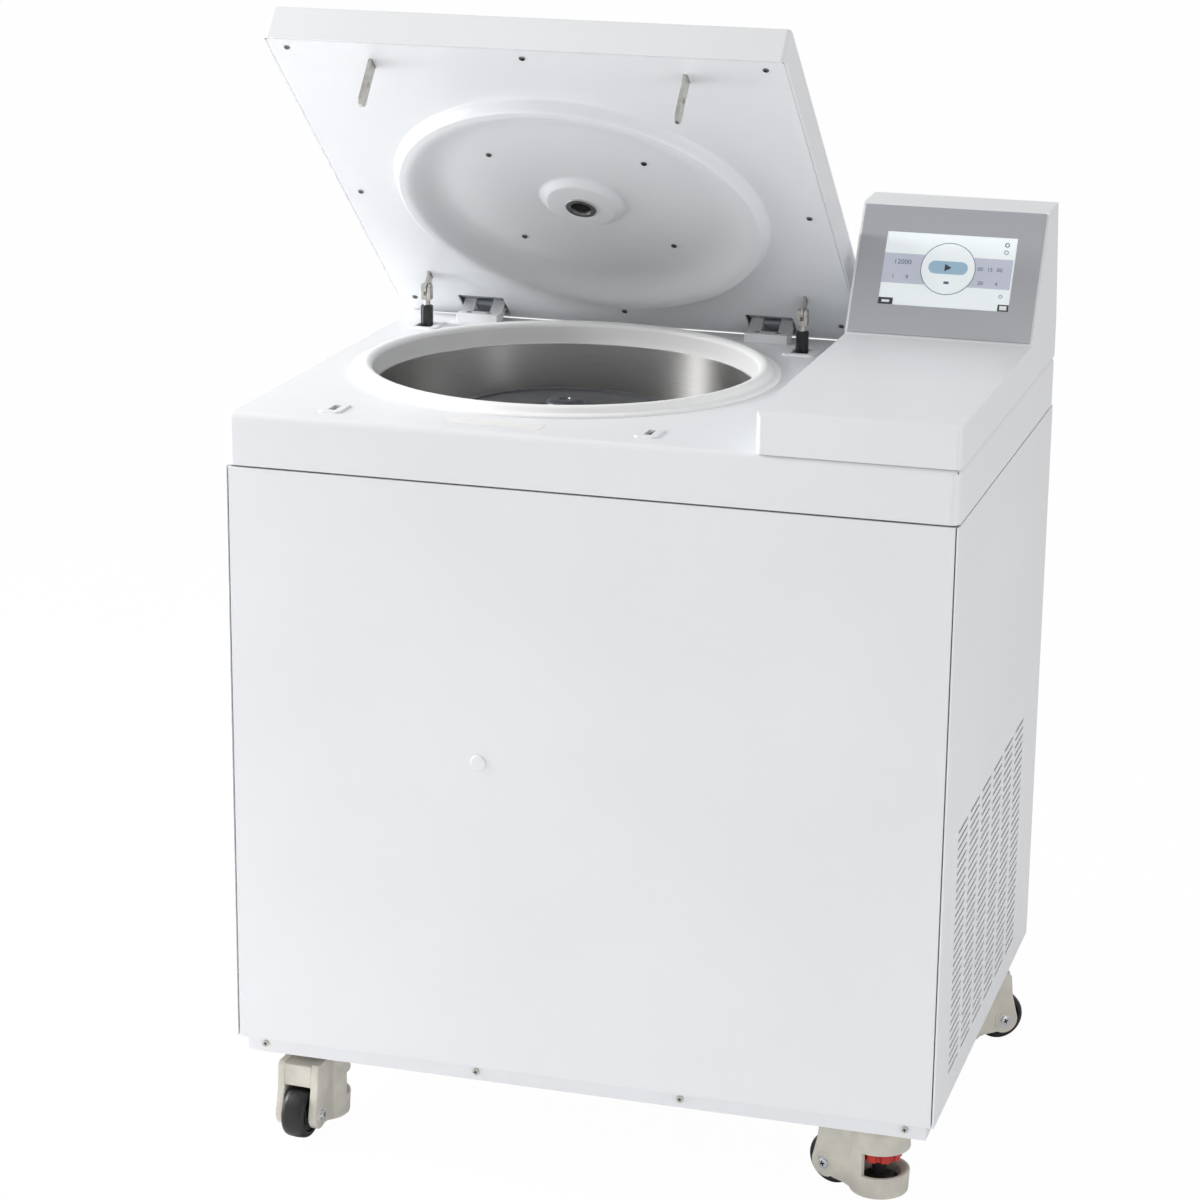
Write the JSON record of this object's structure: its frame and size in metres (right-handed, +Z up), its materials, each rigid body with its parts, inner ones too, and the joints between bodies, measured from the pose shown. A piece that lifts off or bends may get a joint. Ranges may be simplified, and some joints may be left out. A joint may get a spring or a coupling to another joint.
{
  "type": "refrigerated centrifuge",
  "caption": "Floor-standing cooled centrifuge on levelling casters: square cabinet, round steel chamber with a rotor, sprung hinged lid standing open and a tilted touch screen.",
  "frame": {"origin": "on the floor, at the middle of the footprint of the machine with its lid open", "axes": "+X to the operator's right, +Y to the rear, +Z up"},
  "size_m": [0.812, 0.6236, 1.2577],
  "materials": {
    "cabinet_paint": "white powder coat, satin",
    "frame_paint": "grey powder coat",
    "cover_plastic": "white moulded plastic, satin",
    "gasket_rubber": "off-white silicone rubber",
    "stainless": "brushed stainless steel",
    "zinc_steel": "bright zinc plate",
    "rotor_aluminium": "dark anodised, satin",
    "spindle_steel": "ground steel",
    "foam": "cream closed-cell foam",
    "armour_steel": "dark primer",
    "motor_paint": "cast, dark",
    "black_rubber": "black rubber",
    "black_paint": "black paint, satin",
    "rod_chrome": "hard chrome",
    "sight_glass": "clear",
    "fascia_plastic": "grey, semi-gloss",
    "screen_glass": "display glass",
    "copper": "copper tube",
    "fin_aluminium": "plain fins",
    "fan_plastic": "black",
    "inlet_plastic": "black",
    "caster_casting": "beige-grey coated casting",
    "wheel_nylon": "black nylon",
    "dial_plastic": "red"
  },
  "bodies": {
    "cabinet": {"base_frame": "frame_paint", "front_panel": "cabinet_paint", "rear_panel": "cabinet_paint", "left_panel": "cabinet_paint", "right_panel": "cabinet_paint", "deck": "cabinet_paint", "console": "cabinet_paint", "fascia": "fascia_plastic", "touch_screen": "screen_glass", "power_inlet": "inlet_plastic", "deck_gasket": "gasket_rubber", "bowl": "stainless", "evaporator": "copper", "insulation": "foam", "guard_ring": "armour_steel", "motor_plate": "frame_paint", "rubber_mounts": "black_rubber", "motor": "motor_paint", "hinge_bases": "cabinet_paint", "latch_housings": "armour_steel", "compressor": "black_paint", "condenser": "fin_aluminium", "refrigerant_lines": "copper", "inverter_box": "fin_aluminium", "caster_plates": "zinc_steel"},
    "lid": {"lid_shell": "cabinet_paint", "lid_liner": "cover_plastic", "port_ring": "stainless", "port_lens": "sight_glass", "strikers": "zinc_steel", "hinge_leaves": "zinc_steel", "spring_brackets": "zinc_steel"},
    "rotor": {"rotor_body": "rotor_aluminium", "rotor_lid": "rotor_aluminium", "drive_spindle": "spindle_steel"},
    "fan_wheel": {"fan": "fan_plastic"},
    "plug": {"release_plug": "cover_plastic"},
    "rocker": {"power_rocker": "inlet_plastic"},
    "bolt_left": {"latch_bolt_left": "spindle_steel"},
    "bolt_right": {"latch_bolt_right": "spindle_steel"},
    "tube_left": {"spring_tube_left": "black_paint"},
    "rod_left": {"spring_rod_left": "rod_chrome"},
    "tube_right": {"spring_tube_right": "black_paint"},
    "rod_right": {"spring_rod_right": "rod_chrome"},
    "front_left_housing": {"caster_front_left_housing": "caster_casting"},
    "front_left_wheel": {"caster_front_left_wheel": "wheel_nylon"},
    "front_left_dial": {"caster_front_left_dial": "dial_plastic"},
    "front_left_pad": {"caster_front_left_pad": "black_rubber"},
    "front_right_housing": {"caster_front_right_housing": "caster_casting"},
    "front_right_wheel": {"caster_front_right_wheel": "wheel_nylon"},
    "front_right_dial": {"caster_front_right_dial": "dial_plastic"},
    "front_right_pad": {"caster_front_right_pad": "black_rubber"},
    "rear_left_housing": {"caster_rear_left_housing": "caster_casting"},
    "rear_left_wheel": {"caster_rear_left_wheel": "wheel_nylon"},
    "rear_left_dial": {"caster_rear_left_dial": "dial_plastic"},
    "rear_left_pad": {"caster_rear_left_pad": "black_rubber"},
    "rear_right_housing": {"caster_rear_right_housing": "caster_casting"},
    "rear_right_wheel": {"caster_rear_right_wheel": "wheel_nylon"},
    "rear_right_dial": {"caster_rear_right_dial": "dial_plastic"},
    "rear_right_pad": {"caster_rear_right_pad": "black_rubber"}
  },
  "joints": [
    {"name": "lid_hinge", "type": "hinge", "parent": "cabinet", "child": "lid", "pos_m": [-0.116, 0.27557, 0.863], "axis": [1, 0, 0], "range_deg": [0, 40.6]},
    {"name": "rotor_spin", "type": "hinge", "parent": "cabinet", "child": "rotor", "pos_m": [-0.116, 0.02057, 0.7], "axis": [0, 0, 1], "continuous": true},
    {"name": "fan_spin", "type": "hinge", "parent": "cabinet", "child": "fan_wheel", "pos_m": [0.299, -0.01993, 0.273], "axis": [1, 0, 0], "continuous": true},
    {"name": "plug_pull", "type": "slide", "parent": "cabinet", "child": "plug", "axis": [0, -1, 0], "range_m": [0, 0.016]},
    {"name": "rocker_press", "type": "hinge", "parent": "cabinet", "child": "rocker", "pos_m": [0.23, 0.28557, 0.17], "axis": [1, 0, 0], "range_deg": [-9, 9]},
    {"name": "bolt_left_throw", "type": "slide", "parent": "cabinet", "child": "bolt_left", "axis": [-1, 0, 0], "range_m": [0, 0.012]},
    {"name": "bolt_right_throw", "type": "slide", "parent": "cabinet", "child": "bolt_right", "axis": [-1, 0, 0], "range_m": [0, 0.012]},
    {"name": "spring_left_pivot", "type": "hinge", "parent": "lid", "child": "tube_left", "pos_m": [-0.348, 0.20553, 0.89116], "axis": [1, 0, 0], "range_deg": [-40.6, 0]},
    {"name": "spring_left_stroke", "type": "slide", "parent": "tube_left", "child": "rod_left", "axis": [0, 0, 1], "range_m": [0, 0.05236]},
    {"name": "spring_right_pivot", "type": "hinge", "parent": "lid", "child": "tube_right", "pos_m": [0.116, 0.20553, 0.89116], "axis": [1, 0, 0], "range_deg": [-40.6, 0]},
    {"name": "spring_right_stroke", "type": "slide", "parent": "tube_right", "child": "rod_right", "axis": [0, 0, 1], "range_m": [0, 0.05236]},
    {"name": "front_left_swivel", "type": "hinge", "parent": "cabinet", "child": "front_left_housing", "pos_m": [-0.328, -0.22543, 0.09], "axis": [0, 0, 1], "continuous": true},
    {"name": "front_left_roll", "type": "hinge", "parent": "front_left_housing", "child": "front_left_wheel", "pos_m": [-0.33093, -0.28135, 0.03], "axis": [0.9986, -0.0523, 0], "continuous": true},
    {"name": "front_left_level", "type": "hinge", "parent": "front_left_housing", "child": "front_left_dial", "pos_m": [-0.328, -0.22543, 0.052], "axis": [0, 0, 1], "range_deg": [0, 720]},
    {"name": "front_left_pad_travel", "type": "slide", "parent": "front_left_housing", "child": "front_left_pad", "axis": [0, 0, -1], "range_m": [0, 0.008]},
    {"name": "front_right_swivel", "type": "hinge", "parent": "cabinet", "child": "front_right_housing", "pos_m": [0.328, -0.22543, 0.09], "axis": [0, 0, 1], "continuous": true},
    {"name": "front_right_roll", "type": "hinge", "parent": "front_right_housing", "child": "front_right_wheel", "pos_m": [0.27579, -0.20518, 0.03], "axis": [-0.3616, -0.9323, 0], "continuous": true},
    {"name": "front_right_level", "type": "hinge", "parent": "front_right_housing", "child": "front_right_dial", "pos_m": [0.328, -0.22543, 0.052], "axis": [0, 0, 1], "range_deg": [0, 720]},
    {"name": "front_right_pad_travel", "type": "slide", "parent": "front_right_housing", "child": "front_right_pad", "axis": [0, 0, -1], "range_m": [0, 0.008]},
    {"name": "rear_left_swivel", "type": "hinge", "parent": "cabinet", "child": "rear_left_housing", "pos_m": [-0.328, 0.21457, 0.09], "axis": [0, 0, 1], "continuous": true},
    {"name": "rear_left_roll", "type": "hinge", "parent": "rear_left_housing", "child": "rear_left_wheel", "pos_m": [-0.364, 0.25747, 0.03], "axis": [-0.766, -0.6428, 0], "continuous": true},
    {"name": "rear_left_level", "type": "hinge", "parent": "rear_left_housing", "child": "rear_left_dial", "pos_m": [-0.328, 0.21457, 0.052], "axis": [0, 0, 1], "range_deg": [0, 720]},
    {"name": "rear_left_pad_travel", "type": "slide", "parent": "rear_left_housing", "child": "rear_left_pad", "axis": [0, 0, -1], "range_m": [0, 0.008]},
    {"name": "rear_right_swivel", "type": "hinge", "parent": "cabinet", "child": "rear_right_housing", "pos_m": [0.328, 0.21457, 0.09], "axis": [0, 0, 1], "continuous": true},
    {"name": "rear_right_roll", "type": "hinge", "parent": "rear_right_housing", "child": "rear_right_wheel", "pos_m": [0.37533, 0.24449, 0.03], "axis": [-0.5344, 0.8453, 0], "continuous": true},
    {"name": "rear_right_level", "type": "hinge", "parent": "rear_right_housing", "child": "rear_right_dial", "pos_m": [0.328, 0.21457, 0.052], "axis": [0, 0, 1], "range_deg": [0, 720]},
    {"name": "rear_right_pad_travel", "type": "slide", "parent": "rear_right_housing", "child": "rear_right_pad", "axis": [0, 0, -1], "range_m": [0, 0.008]}
  ],
  "couplings": [
    {"joint": "spring_left_pivot", "follows": "lid_hinge", "ratio": -1},
    {"joint": "spring_left_stroke", "follows": "lid_hinge", "m_per_rad": 0.073885},
    {"joint": "spring_right_pivot", "follows": "lid_hinge", "ratio": -1},
    {"joint": "spring_right_stroke", "follows": "lid_hinge", "m_per_rad": 0.073885},
    {"joint": "front_left_level", "follows": "front_left_pad_travel", "rad_per_m": 1570.8},
    {"joint": "front_right_level", "follows": "front_right_pad_travel", "rad_per_m": 1570.8},
    {"joint": "rear_left_level", "follows": "rear_left_pad_travel", "rad_per_m": 1570.8},
    {"joint": "rear_right_level", "follows": "rear_right_pad_travel", "rad_per_m": 1570.8}
  ]
}
